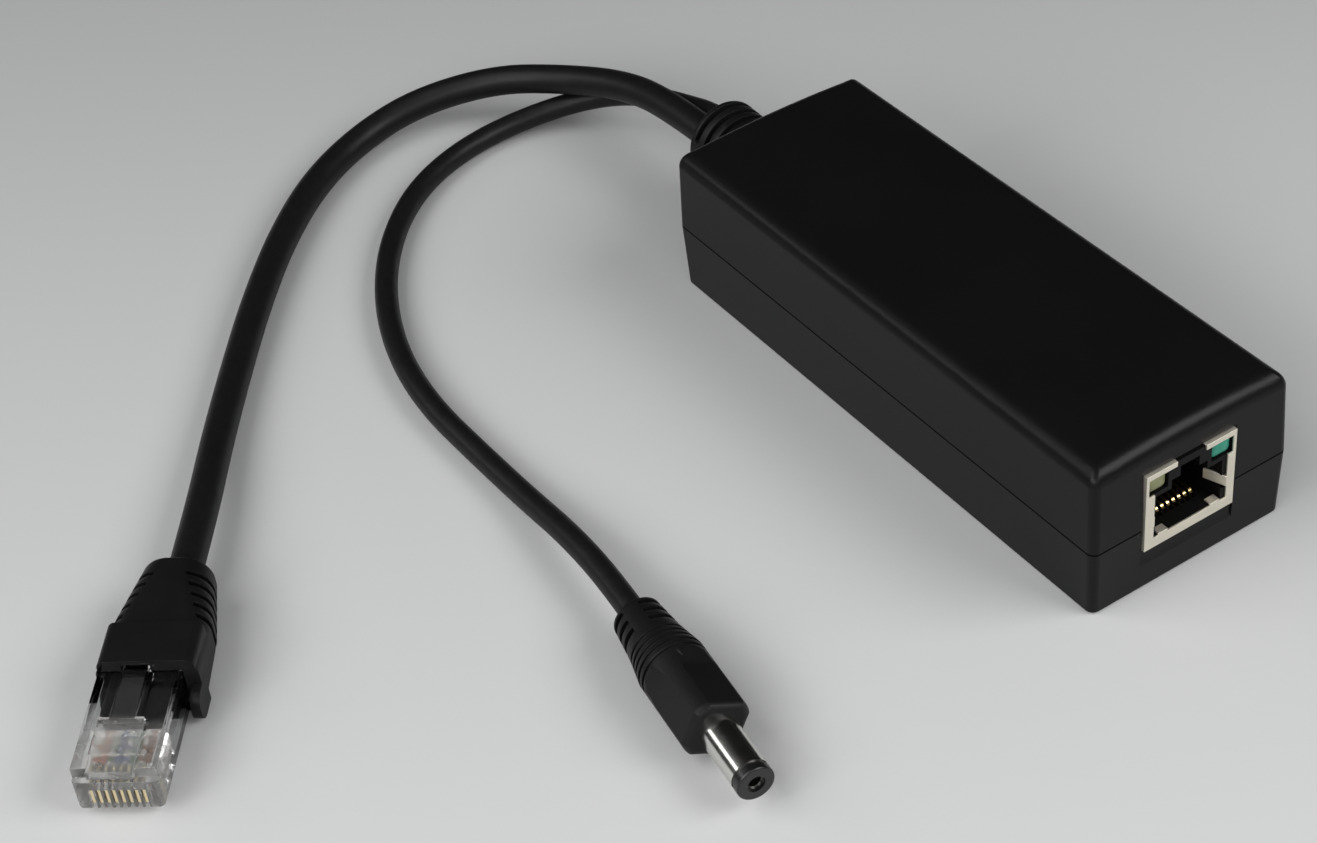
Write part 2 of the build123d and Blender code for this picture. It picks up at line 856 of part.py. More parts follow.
def plug_envelope(grow):
    """The space that the clear plug takes, grown by a clearance."""
    half = plug_width / 2 + grow
    top = plug_low + plug_body_height
    return slab(
        (plug_start - grow, plug_start + plug_length + 1),
        (-half, half),
        (plug_low - grow, top + grow),
    )


def latch_room_block():
    """The space under the boot's guard that the latch's tongue moves in."""
    half = latch_tongue_width / 2 + latch_room
    top = plug_low + plug_body_height
    return slab(
        (plug_start + plug_length - latch_length - latch_room, boot_length + boot_cheek_length + 1),
        (latch_shift - half, latch_shift + half),
        (top - latch_room, boot_guard_top - boot_guard_roof),
    )


def build_boot():
    """Slotted sleeve that widens into a guard over the latch, with a cheek on each side of the plug."""
    rear_half = boot_rear_height / 2
    rear = sleeve_section(0, boot_rear_width, -rear_half, rear_half, boot_rear_corner)
    waist = sleeve_section(boot_waist_x, boot_waist_width, boot_low, boot_top, boot_waist_corner)
    front = sleeve_section(boot_length, boot_front_width, boot_low, boot_top, boot_front_corner)
    collar = loft([rear, waist], ruled=True)
    collar = fillet(collar.edges().group_by(Axis.X)[0], boot_rear_edge)
    boot = collar + loft([waist, front], ruled=True)
    guard = sleeve_section(boot_guard_start, boot_guard_width, 0, boot_guard_top, boot_guard_corner)
    boot += extrude(guard, boot_length - boot_guard_start)
    for side in (-1, 1):
        half = boot_front_width / 2
        cheek = slab(
            (boot_length - boot_cheek_round, boot_length + boot_cheek_length),
            across(half - boot_cheek_thickness, side, half),
            (boot_cheek_low, boot_cheek_low + boot_cheek_height),
        )
        boot += fillet(cheek.edges().filter_by(Axis.Y).group_by(Axis.X)[-1], boot_cheek_round)
    growth = (boot_waist_width - boot_rear_width) / 2 / boot_waist_x
    for index in range(boot_slot_count):
        x = boot_slot_first + index * boot_slot_pitch
        reach = boot_rear_width / 2 + growth * x
        spine = boot_spine + boot_spine_growth * x
        for side in (-1, 1):
            ring = slab(
                (x - boot_slot_width / 2, x + boot_slot_width / 2),
                across(spine, side, boot_front_width),
                (boot_slot_low, boot_front_width),
            )
            core = rounded_bar(
                (x - boot_slot_width, x + boot_slot_width),
                0, 0, 2 * (reach - boot_slot_depth), boot_rear_height - 2 * boot_slot_depth,
                boot_waist_corner - boot_slot_depth,
            )
            boot -= ring - core
    hollow = plug_envelope(plug_fit) + latch_room_block()
    return plug_place(boot_shift) * boot - plug_place(plug_shift) * hollow


def plug_blade_y(index):
    """Place of one of the plug's ways across it."""
    return (index - (contact_count - 1) / 2) * contact_pitch


def build_latch():
    """Springy tongue that rises backwards from its hinge at the nose."""
    nose = plug_start + plug_length
    top = plug_low + plug_body_height
    hinge = nose - latch_hinge
    step = hinge - latch_wide_length
    end = nose - latch_length
    rises = {hinge: latch_hinge_lift, step: latch_rise, end: latch_end_rise}

    def strip(rear, width):
        places = sorted({hinge, step, rear}, reverse=True)
        upper = [(x, top + rises[x]) for x in places]
        lower = [(x, z - latch_thickness) for x, z in reversed(upper)]
        outline = Polyline(*upper, *lower, close=True)
        return extrude(Plane.XZ.offset(-width / 2) * make_face(outline), width)

    root = slab(
        (hinge - latch_thickness, nose),
        (-latch_width / 2, latch_width / 2),
        (top - latch_recess - latch_clearance, top + latch_hinge_lift),
    )
    return Pos(0, latch_shift, 0) * (strip(step, latch_width) + strip(end, latch_tongue_width) + root)


def build_plug_body():
    """Clear moulding: bored for the jacket, stepped at the nose, slotted for its contacts, with its latch."""
    half = plug_width / 2
    nose = plug_start + plug_length
    top = plug_low + plug_body_height
    body = slab((plug_start, nose - plug_nose_step), (-half, half), (plug_low, top))
    body = body + slab((plug_start + 1, nose), (-half, half), (plug_low, plug_low + plug_nose_height))
    body = chamfer(body.edges().filter_by(Axis.Z).group_by(Axis.X)[-1], plug_nose_chamfer)
    recess_half = latch_width / 2 + latch_clearance
    body -= slab(
        (nose - latch_hinge - latch_wide_length - latch_clearance, nose - latch_hinge - latch_thickness),
        (latch_shift - recess_half, latch_shift + recess_half),
        (top - latch_recess, top + 1),
    )
    body = body + build_latch()
    bore_low = plug_low + plug_bore_floor
    body -= slab(
        (plug_start - 1, plug_start + plug_bore_depth),
        (-plug_bore_width / 2, plug_bore_width / 2),
        (bore_low, bore_low + plug_bore_height),
    )
    wire_half = contact_count * contact_pitch / 2 + jacket_gap
    wire_reach = plug_wire_diameter / 2 + jacket_gap
    body -= slab(
        (plug_start + plug_bore_depth - 1, plug_start + jacket_length + plug_wire_length + jacket_gap),
        (-wire_half, wire_half),
        (plug_wire_height - wire_reach, plug_wire_height + wire_reach),
    )
    for index in range(contact_count):
        y = plug_blade_y(index)
        body -= slab(
            (nose - plug_slot_depth, nose + 1),
            (y - plug_slot_width / 2, y + plug_slot_width / 2),
            (plug_low - 1, plug_low + plug_slot_height),
        )
    return plug_place(plug_shift) * body


def build_plug_contact(index):
    """A gold blade with rounded nose corners, seated in its slot."""
    y = plug_blade_y(index)
    nose = plug_start + plug_length
    blade = slab(
        (nose - plug_contact_setback - plug_contact_length, nose - plug_contact_setback),
        (y - plug_contact_thickness / 2, y + plug_contact_thickness / 2),
        (plug_low + plug_contact_setback, plug_low + plug_contact_setback + plug_contact_height),
    )
    corner = blade.edges().filter_by(Axis.Y).group_by(Axis.X)[-1].sort_by(Axis.Z)[0]
    blade = fillet(corner, plug_contact_round)
    return plug_place(plug_shift) * blade


def build_plug_wire(index):
    """One insulated wire between the jacket's end and its blade."""
    start = plug_start + jacket_length
    wire = extrude(Plane.YZ.offset(start) * Circle(plug_wire_diameter / 2), plug_wire_length)
    return plug_place(plug_shift) * Pos(0, plug_blade_y(index), plug_wire_height) * wire


def build_jacket_end():
    """The cord's jacket, pressed flat where the plug grips it and cut back at its corners."""
    height = plug_bore_height - 2 * jacket_gap
    middle = plug_low + plug_bore_floor + plug_bore_height / 2
    width = plug_bore_width - 2 * jacket_gap
    reach = (plug_start, plug_start + jacket_length)
    bar = rounded_bar(reach, 0, middle, width, height, height / 2 - jacket_gap)
    for side in (-1, 1):
        corner = Polyline(
            (reach[1] - 1.4 * jacket_taper, side * width / 2),
            (reach[1], side * (width / 2 - jacket_taper)),
            (reach[1], side * width),
            (reach[1] - 1.4 * jacket_taper, side * width),
            close=True,
        )
        bar -= extrude(Plane.XY.offset(middle - height) * make_face(corner), 2 * height)
    return plug_place(plug_shift) * bar


# Power plug

def power_plug_place():
    """Local frame of the power plug: X forwards along its axis, origin where the grip begins."""
    return Location(power_cord_end, (0, 0, power_plug_heading))


def grip_reach(x):
    """Radius of the grip before its flats, slots and rings are cut."""
    if x < grip_neck_length:
        return grip_rear_radius + (grip_neck_radius - grip_rear_radius) * x / grip_neck_length
    share = min(1.0, (x - grip_neck_length) / grip_shoulder_length)
    return grip_neck_radius + (grip_radius - grip_neck_radius) * share


def groove_ring(x, width, depth):
    """Cutter of a groove of one width and depth around the grip."""
    ring = Circle(2 * grip_radius) - Circle(grip_reach(x) - depth)
    return extrude(Plane.YZ.offset(x - width / 2) * ring, width)


def build_grip():
    """Moulded grip: slotted neck, fine rings, then four flats up to a rounded front edge."""
    shoulder = grip_neck_length + grip_shoulder_length
    outline = Polyline(
        (0, 0),
        (0, grip_rear_radius - grip_rear_edge),
        (grip_rear_edge, grip_rear_radius),
        (grip_neck_length, grip_neck_radius),
        (shoulder, grip_radius),
        (grip_length, grip_radius),
        (grip_length, 0),
        close=True,
    )
    grip = revolve(make_face(outline), Axis.X)
    wedge = Polyline(
        (grip_flat_start, grip_radius),
        (grip_flat_start + grip_flat_run, grip_flat),
        (grip_length + 1, grip_flat),
        (grip_length + 1, 2 * grip_radius),
        (grip_flat_start, 2 * grip_radius),
        close=True,
    )
    cutter = extrude(Plane.XZ.offset(-grip_radius) * make_face(wedge), 2 * grip_radius)
    for quarter in range(4):
        grip -= Rot(grip_turn + 90 * quarter, 0, 0) * cutter
    grip = fillet(grip.edges().group_by(Axis.X)[-1], grip_edge)
    for index in range(grip_ring_count):
        grip -= groove_ring(grip_ring_first + index * grip_ring_pitch, grip_ring_width, grip_ring_depth)
    for index in range(grip_slot_count):
        x = grip_slot_first + index * grip_slot_pitch
        spine = slab(
            (x - grip_slot_width, x + grip_slot_width),
            (-grip_slot_spine / 2, grip_slot_spine / 2),
            (-2 * grip_radius, 2 * grip_radius),
        )
        grip -= groove_ring(x, grip_slot_width, grip_slot_depth) - Rot(grip_spine_turn, 0, 0) * spine
    root_radius = barrel_radius - barrel_root_step
    socket = extrude(Plane.YZ.offset(grip_length - barrel_root) * Circle(root_radius), barrel_root + 1)
    return power_plug_place() * (grip - socket)


def ring_between(start, length, outer, inner):
    """A tube along the power plug's axis."""
    return extrude(Plane.YZ.offset(start) * (Circle(outer) - Circle(inner)), length)


def build_barrel():
    """Nickel sleeve, with a thinner root that is seated in the grip."""
    bore = barrel_radius - barrel_wall
    root = ring_between(grip_length - barrel_root, barrel_root, barrel_radius - barrel_root_step, bore)
    sleeve = ring_between(grip_length, barrel_length - tip_length, barrel_radius, bore)
    return power_plug_place() * (root + sleeve)


def build_tip():
    """Black insulator: a ring at the tip and a sleeve that fills the barrel around the inner contact."""
    start = grip_length - barrel_root
    end = grip_length + barrel_length
    inside = barrel_radius - barrel_wall
    sleeve = ring_between(start, end - start - tip_length, inside, inner_contact_radius)
    ring = ring_between(end - tip_length, tip_length, barrel_radius, inner_contact_radius)
    ring = fillet(ring.edges().group_by(Axis.X)[-1].sort_by(SortBy.LENGTH)[-1], tip_edge)
    groove = ring_between(end - tip_length, tip_groove_width, barrel_radius + 1, barrel_radius - tip_groove)
    return power_plug_place() * (sleeve + ring - groove)


def build_inner_contact():
    """The inner contact sleeve that takes the socket's pin."""
    start = grip_length - barrel_root
    length = barrel_root + barrel_length - inner_contact_setback
    return power_plug_place() * ring_between(start, length, inner_contact_radius, inner_contact_bore)


# Leads inside the housing

def build_lead(y, diameter):
    """A lead from the gland's flange down to the board."""
    path = FilletPolyline(
        (leads_start, y, gland_height),
        (leads_start + lead_run, y, gland_height),
        (leads_start + lead_run, y, board_top + seat_gap),
        radius=lead_bend,
    )
    section = Plane(origin=path @ 0, z_dir=path % 0) * Circle(diameter / 2)
    return sweep(section, path=path)


# Writing the pieces

os.makedirs("parts", exist_ok=True)

save(build_lower_shell(), "lower_shell")
save(build_upper_shell(), "upper_shell")
save(build_board(), "circuit_board")
save(build_jack_shield(), "jack_shield")
save(build_jack_body(), "jack_body")
save(build_lamp(-1), "jack_lamp_yellow")
save(build_lamp(1), "jack_lamp_green")
for way in range(contact_count):
    save(build_jack_contact(way), f"jack_contact_{way + 1}")
    save(build_plug_contact(way), f"plug_contact_{way + 1}")
    save(build_plug_wire(way), f"plug_wire_{way + 1}")

save(moulded_package(magnetics_size, (data_x, 0)), "network_transformer")
save(build_transformer_core(), "power_transformer_core")
save(build_transformer_coil(), "power_transformer_coil")
save(build_transformer_foot(), "power_transformer_foot")
for number, place in enumerate(bridge_places):
    save(moulded_package(bridge_size, place), f"bridge_rectifier_{number + 1}")
controller_place = (input_x, controller_y)
controller = package_with_leads(controller_size, controller_place, controller_lead_count, controller_pitch)
save(controller, "power_controller")
save(moulded_package(diode_size, (transformer_x, diode_y)), "output_diode")
save(moulded_package(coupler_size, (transformer_x, coupler_y)), "feedback_coupler")
save(build_choke(), "output_choke")
for name, place in capacitor_places.items():
    save(build_capacitor(place), name)

save(build_gland(), "cable_gland")
for pair, y in enumerate(pair_places):
    save(build_lead(y, lead_diameter), f"network_lead_pair_{pair + 1}")
for name, y in power_lead_places.items():
    save(build_lead(y, power_lead_diameter), name)

save(build_cord(network_cord_route(), network_cord_diameter, "network cord"), "network_cord")
save(build_cord(power_cord_route(), power_cord_diameter, "power cord"), "power_cord")
save(build_boot(), "plug_boot")
save(build_plug_body(), "plug_body")
save(build_jacket_end(), "plug_jacket_end")
save(build_grip(), "power_plug_grip")
save(build_barrel(), "power_plug_barrel")
save(build_tip(), "power_plug_tip")
save(build_inner_contact(), "power_plug_inner_contact")
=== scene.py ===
import json
import math

import bmesh
import bpy
from mathutils import Matrix, Vector


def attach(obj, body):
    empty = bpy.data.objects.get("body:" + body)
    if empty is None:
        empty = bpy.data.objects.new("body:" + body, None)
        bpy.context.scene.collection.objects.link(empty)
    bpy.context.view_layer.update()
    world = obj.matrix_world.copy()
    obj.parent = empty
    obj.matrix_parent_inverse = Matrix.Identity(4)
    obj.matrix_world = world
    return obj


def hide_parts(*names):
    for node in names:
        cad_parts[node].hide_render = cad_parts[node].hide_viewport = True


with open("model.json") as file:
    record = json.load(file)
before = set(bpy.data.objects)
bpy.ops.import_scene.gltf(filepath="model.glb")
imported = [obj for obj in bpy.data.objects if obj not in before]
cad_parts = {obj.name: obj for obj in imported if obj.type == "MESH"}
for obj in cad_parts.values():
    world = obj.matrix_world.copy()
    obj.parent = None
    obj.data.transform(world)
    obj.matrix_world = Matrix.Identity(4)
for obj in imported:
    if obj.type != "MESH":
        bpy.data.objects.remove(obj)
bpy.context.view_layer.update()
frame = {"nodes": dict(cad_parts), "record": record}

MM = 0.001

# The photograph's camera

IMAGE_WIDTH = 1317
FOCAL_PIXELS = 2658.99
SENSOR_WIDTH = 36.0
CAMERA_EYE = (245.533, -193.233, 260.344)
CAMERA_YAW = 60.41
CAMERA_PITCH = 40.154
CAMERA_ROLL = -6.396

# Cords

NETWORK_CORD_DIAMETER = 5.1
POWER_CORD_DIAMETER = 3.8
NETWORK_ROUTE = [
    (-63.2, -2.0, 13.8), (-75.8, -2.0, 13.7), (-88.4, -3.0, 11.8), (-100.9, -8.5, 9.2),
    (-110.5, -16.4, 7.7), (-116.5, -29.1, 5.4), (-116.6, -41.0, 3.0), (-110.2, -53.2, 2.8),
    (-99.8, -64.9, 2.8), (-87.0, -76.2, 2.8), (-73.5, -86.7, 2.8), (-58.5, -97.6, 3.3),
    (-43.87, -107.04, 4.9), (-32.5, -115.55, 4.9),
]
POWER_ROUTE = [
    (-63.2, 3.0, 12.9), (-68.9, 3.0, 12.9), (-79.2, 2.4, 10.1), (-89.8, 0.3, 7.9),
    (-98.1, -5.4, 5.2), (-103.1, -15.7, 2.8), (-103.2, -26.6, 2.1), (-99.5, -37.2, 2.0),
    (-92.8, -46.2, 2.0), (-83.4, -54.2, 2.0), (-72.2, -60.6, 2.0), (-59.4, -65.2, 2.0),
    (-46.0, -67.3, 2.0), (-32.2, -67.1, 2.0), (-18.4, -66.9, 2.4), (-5.4, -67.2, 4.4),
    (6.27, -67.99, 5.05), (14.6, -69.1, 5.05),
]
NETWORK_PLUG_HEADING = -36.8
POWER_PLUG_HEADING = -7.6


# Finishes, with the distance from its boot's rear at which the clear plug turns cloudy

CLOUD_START = 0.0300
CLOUD_RISE = 400.0
BAND_SCALE = 150.0
BAND_EDGE = 0.62
TRACK_SCALE = 260.0
TRACK_EDGE = 0.42


class Value:
    """A socket that takes part in plain arithmetic."""

    def __init__(self, finish, socket):
        self.finish = finish
        self.socket = socket

    def join(self, operation, first, second):
        return self.finish.node("ShaderNodeMath", {"operation": operation}, {0: first, 1: second})

    def __add__(self, other):
        return self.join("ADD", self, other)

    def __radd__(self, other):
        return self.join("ADD", other, self)

    def __sub__(self, other):
        return self.join("SUBTRACT", self, other)

    def __rsub__(self, other):
        return self.join("SUBTRACT", other, self)

    def __mul__(self, other):
        return self.join("MULTIPLY", self, other)

    def __rmul__(self, other):
        return self.join("MULTIPLY", other, self)

    def above(self, other):
        return self.join("GREATER_THAN", self, other)


class Finish:
    """One material under construction around its main shader."""

    def __init__(self, name, **constants):
        self.material = bpy.data.materials.new(name)
        self.material.use_nodes = True
        self.tree = self.material.node_tree
        self.shader = self.tree.nodes["Principled BSDF"]
        for socket, value in constants.items():
            self.shader.inputs[socket.replace("_", " ")].default_value = value

    def node(self, kind, settings, inputs, output=0):
        made = self.tree.nodes.new(kind)
        for name, value in settings.items():
            setattr(made, name, value)
        for key, value in inputs.items():
            if isinstance(value, Value):
                self.tree.links.new(value.socket, made.inputs[key])
            else:
                made.inputs[key].default_value = value
        return Value(self, made.outputs[output])

    def place(self):
        return self.node("ShaderNodeTexCoord", {}, {}, "Object")

    def coordinate(self, axis):
        return self.node("ShaderNodeSeparateXYZ", {}, {0: self.place()}, axis)

    def noise(self, scale, detail=2.0, stretch=(1.0, 1.0, 1.0)):
        place = self.node("ShaderNodeMapping", {}, {"Vector": self.place(), "Scale": stretch})
        return self.node("ShaderNodeTexNoise", {}, {"Vector": place, "Scale": scale, "Detail": detail})

    def cells(self, scale):
        return self.node("ShaderNodeTexVoronoi", {}, {"Vector": self.place(), "Scale": scale})

    def mix(self, share, first, second):
        sockets = {0: share, 6: colour(first), 7: colour(second)}
        return self.node("ShaderNodeMix", {"data_type": "RGBA"}, sockets, 2)

    def feed(self, socket, value):
        self.tree.links.new(value.socket, self.shader.inputs[socket])

    def bump(self, height, depth, strength=1.0):
        relief = self.node("ShaderNodeBump", {}, {"Strength": strength, "Distance": depth, "Height": height})
        self.feed("Normal", relief)


def colour(value):
    return value if isinstance(value, Value) else (*value, 1.0)


def case_finish():
    """Fine spark-eroded black moulding, a little uneven in its sheen."""
    finish = Finish("case_moulding", Specular_IOR_Level=0.14)
    flow = finish.noise(45.0, 3.0)
    grain = finish.noise(5200.0, 3.0)
    finish.feed("Base Color", finish.mix(flow, (0.0040, 0.0040, 0.0043), (0.0062, 0.0062, 0.0066)))
    finish.feed("Roughness", 0.27 + 0.05 * flow + 0.07 * grain)
    finish.bump(grain, 0.00003, 0.35)
    return finish.material


def jacket_finish(name, twist):
    """Extruded soft jacket with the faint rise and fall of the twisted pairs under it."""
    finish = Finish(name, Specular_IOR_Level=0.22)
    drawn = finish.noise(900.0, 4.0)
    pairs = finish.noise(twist, 1.0)
    finish.feed("Base Color", finish.mix(drawn, (0.004, 0.004, 0.0043), (0.0075, 0.0075, 0.0078)))
    finish.feed("Roughness", 0.4 + 0.12 * drawn)
    finish.bump(pairs + 0.12 * drawn, 0.0005, 0.35)
    return finish.material


def rubber_finish(name, sheen):
    """Moulded soft plastic with an even satin skin."""
    finish = Finish(name, Specular_IOR_Level=sheen)
    skin = finish.noise(2400.0, 3.0)
    cloud = finish.noise(140.0, 2.0)
    finish.feed("Base Color", finish.mix(cloud, (0.004, 0.004, 0.0043), (0.007, 0.007, 0.0073)))
    finish.feed("Roughness", 0.38 + 0.1 * cloud + 0.06 * skin)
    finish.bump(skin, 0.00003, 0.4)
    return finish.material


def sheet_metal_finish(name, tone, roughness):
    """Rolled and plated sheet with fine lines along the roll."""
    finish = Finish(name, Metallic=1.0)
    lines = finish.noise(420.0, 4.0, (1.0, 1.0, 14.0))
    cloud = finish.noise(380.0, 2.0)
    dark = tuple(0.86 * part for part in tone)
    finish.feed("Base Color", finish.mix(cloud, dark, tone))
    finish.feed("Roughness", roughness + 0.12 * lines)
    finish.bump(lines, 0.00002, 0.3)
    return finish.material


def turned_metal_finish(name, tone, roughness):
    """Turned and plated metal."""
    finish = Finish(name, Metallic=1.0)
    cloud = finish.noise(600.0, 3.0)
    finish.feed("Base Color", finish.mix(cloud, tuple(0.9 * part for part in tone), tone))
    finish.feed("Roughness", roughness + 0.06 * cloud)
    finish.bump(cloud, 0.00001, 0.2)
    return finish.material


def clear_finish():
    """Clear polycarbonate, glassy over the jacket and cloudy from its wires to its nose."""
    finish = Finish("clear_polycarbonate", IOR=1.585, Transmission_Weight=1.0, Specular_IOR_Level=0.2)
    flow = finish.noise(420.0, 1.0)
    finish.feed("Base Color", finish.mix(flow, (0.93, 0.94, 0.94), (0.98, 0.98, 0.98)))
    finish.feed("Roughness", 0.01 + 0.05 * flow)
    finish.bump(flow, 0.00012, 0.25)
    heading = math.radians(NETWORK_PLUG_HEADING)
    start = NETWORK_ROUTE[-1]
    across = math.cos(heading) * finish.coordinate(0) + math.sin(heading) * finish.coordinate(1)
    along = across - MM * (math.cos(heading) * start[0] + math.sin(heading) * start[1])
    reach = finish.node("ShaderNodeClamp", {}, {"Value": CLOUD_RISE * (along - CLOUD_START)})
    cloudy = finish.node("ShaderNodeBsdfPrincipled", {}, {
        "Base Color": (0.86, 0.85, 0.82, 1.0), "Roughness": 0.3, "IOR": 1.5, "Transmission Weight": 0.75,
    })
    blend = finish.node("ShaderNodeMixShader", {}, {
        0: reach * (0.15 + 0.26 * flow), 1: Value(finish, finish.shader.outputs[0]), 2: cloudy,
    })
    finish.tree.links.new(blend.socket, finish.tree.nodes["Material Output"].inputs["Surface"])
    return finish.material


def lens_finish(name, pale, deep):
    """Cloudy tinted lens of an unlit lamp."""
    finish = Finish(name, IOR=1.5, Transmission_Weight=0.2, Specular_IOR_Level=0.3)
    cloud = finish.noise(420.0, 1.0)
    finish.feed("Base Color", finish.mix(cloud, deep, pale))
    finish.feed("Roughness", 0.22 + 0.2 * cloud)
    finish.bump(cloud, 0.00006, 0.3)
    return finish.material


def insulation_finish(name, tone, second=None, heading=0.0):
    """Wire insulation, in one tone or with a second tone in bands along it."""
    finish = Finish(name, Specular_IOR_Level=0.5)
    cloud = finish.noise(1500.0, 2.0)
    shaded = finish.mix(cloud, tuple(0.8 * part for part in tone), tone)
    if second is not None:
        turned = finish.node(
            "ShaderNodeMapping", {}, {"Vector": finish.place(), "Rotation": (0.0, 0.0, heading)}
        )
        bands = finish.node("ShaderNodeTexWave", {"bands_direction": "X"}, {
            "Vector": turned, "Scale": BAND_SCALE, "Distortion": 1.5,
        })
        shaded = finish.mix(bands.above(BAND_EDGE), shaded, second)
    finish.feed("Base Color", shaded)
    finish.feed("Roughness", 0.34 + 0.12 * cloud)
    return finish.material


def plain_moulding_finish(name, tone, roughness=0.5, scale=1800.0, sheen=0.5):
    """Small moulded package with an even grain."""
    finish = Finish(name, Specular_IOR_Level=sheen)
    grain = finish.noise(scale, 3.0)
    finish.feed("Base Color", finish.mix(grain, tuple(0.75 * part for part in tone), tone))
    finish.feed("Roughness", roughness + 0.12 * grain)
    finish.bump(grain, 0.00004, 0.3)
    return finish.material


def board_finish():
    """Green solder mask over a copper pattern that shows as paler tracks."""
    finish = Finish("solder_mask")
    tracks = finish.cells(TRACK_SCALE).above(TRACK_EDGE)
    finish.feed("Base Color", finish.mix(tracks, (0.02, 0.13, 0.05), (0.05, 0.24, 0.10)))
    finish.feed("Roughness", 0.28 + 0.1 * tracks)
    finish.bump(tracks, 0.00003, 0.4)
    return finish.material


BAND_TURN = -math.radians(NETWORK_PLUG_HEADING)
WHITE_INSULATION = (0.82, 0.80, 0.76)
PAIR_TONES = {
    "orange": (0.60, 0.24, 0.15),
    "blue": (0.16, 0.20, 0.40),
    "green": (0.14, 0.28, 0.17),
    "brown": (0.30, 0.15, 0.10),
}
finishes = {
    "shell_plastic": case_finish(),
    "board": board_finish(),
    "shield_metal": sheet_metal_finish("plated_sheet", (0.90, 0.85, 0.73), 0.48),
    "jack_plastic": plain_moulding_finish("jack_insulator", (0.002, 0.002, 0.002), 0.5, 1800.0, 0.16),
    "yellow_lens": lens_finish("lens_yellow", (0.34, 0.35, 0.20), (0.17, 0.18, 0.07)),
    "green_lens": lens_finish("lens_green", (0.06, 0.50, 0.34), (0.005, 0.07, 0.05)),
    "package_black": plain_moulding_finish("package_moulding", (0.02, 0.02, 0.021)),
    "ferrite": plain_moulding_finish("ground_ferrite", (0.05, 0.05, 0.055), 0.55, 900.0),
    "coil_tape": plain_moulding_finish("winding_tape", (0.72, 0.56, 0.10), 0.3, 300.0),
    "coupler_white": plain_moulding_finish("pale_package", (0.72, 0.72, 0.69), 0.4),
    "capacitor_sleeve": plain_moulding_finish("shrunk_sleeve", (0.02, 0.03, 0.09), 0.25, 400.0),
    "cord_rubber": rubber_finish("soft_moulding", 0.2),
    "clear_plastic": clear_finish(),
    "gold": turned_metal_finish("gold_plating", (0.92, 0.68, 0.30), 0.2),
    "nickel": turned_metal_finish("nickel_plating", (0.74, 0.73, 0.69), 0.16),
    "tip_plastic": plain_moulding_finish("tip_insulator", (0.008, 0.008, 0.008), 0.25),
    "lead_black": insulation_finish("insulation_black", (0.012, 0.012, 0.012)),
    "lead_red": insulation_finish("insulation_red", (0.55, 0.03, 0.02)),
}
for pair, tone in PAIR_TONES.items():
    finishes[f"lead_{pair}"] = insulation_finish(f"insulation_{pair}", tone)
    finishes[f"lead_{pair}_white"] = insulation_finish(f"banded_{pair}", WHITE_INSULATION, tone, BAND_TURN)


def cover(piece, material):
    piece.data.materials.clear()
    piece.data.materials.append(material)


for subpart in frame["record"]["subparts"]:
    cover(frame["nodes"][subpart["node"]], finishes[subpart["material_slot"]])
cover(frame["nodes"]["plug_jacket_end"], rubber_finish("jacket_in_plug", 0.04))
blade_plating = turned_metal_finish("blade_plating", (0.92, 0.78, 0.50), 0.34)
for way in range(1, 9):
    cover(frame["nodes"][f"plug_contact_{way}"], blade_plating)


# Moulded and folded pieces with their edges broken, sizes in mm

HALF_LENGTH = 50.0
HALF_WIDTH = 18.0
PARTING_HEIGHT = 11.4
EDGE_HEIGHT = 25.0
LOWER_DRAFT = 0.35
UPPER_END_DRAFT = 0.5
UPPER_SIDE_DRAFT = 0.35
PLAIN_CORNER = 2.9
TIGHT_CORNER = 1.35
SHELL_TRIM = 0.6
FAR_SIDE_START = 8.0
CORD_END_START = 40.0
JACK_FORWARD = 0.35
LENS_FRONT = 49.9
LENS_BACK = 45.0
LENS_CROWN = 0.7
LENS_WIDTH = 3.56
LENS_HEIGHT = 2.95
LENS_MIDDLE = 18.55
LENS_FULLNESS = 5.0
LENS_RINGS = 14
LENS_SPOKES = 48
EDGE_ANGLE = math.radians(28.0)
EDGE_STEPS = 2
FLAT_ANGLE = math.radians(0.05)
SAME_POINT = 0.002
SAME_CORNER = 0.005
CORNER_MARGIN = 0.01
LARGE_FACES_LEAD = 100


def case_half_size(height):
    """Half the length and width of the drafted case at a height, in mm."""
    if height < PARTING_HEIGHT:
        lean = 1.0 - height / PARTING_HEIGHT
        return HALF_LENGTH - LOWER_DRAFT * lean, HALF_WIDTH - LOWER_DRAFT * lean
    lean = (height - PARTING_HEIGHT) / (EDGE_HEIGHT - PARTING_HEIGHT)
    return HALF_LENGTH - UPPER_END_DRAFT * lean, HALF_WIDTH - UPPER_SIDE_DRAFT * lean


def tighten_corners(work):
    """The four upright corners of a shell, drawn out to the smaller radius of the moulding."""
    for corner in work.verts:
        x, y, z = (part / MM for part in corner.co)
        length, width = case_half_size(z)
        beyond_x = abs(x) - (length - PLAIN_CORNER)
        beyond_y = abs(y) - (width - PLAIN_CORNER)
        if min(beyond_x, beyond_y) < -CORNER_MARGIN:
            continue
        reach = math.hypot(beyond_x, beyond_y)
        turn = math.atan2(max(beyond_y, 0.0), max(beyond_x, 0.0))
        radius = TIGHT_CORNER * reach / PLAIN_CORNER
        back = PLAIN_CORNER - reach + radius
        corner.co.x = math.copysign(length - back + radius * math.cos(turn), x) * MM
        corner.co.y = math.copysign(width - back + radius * math.sin(turn), y) * MM


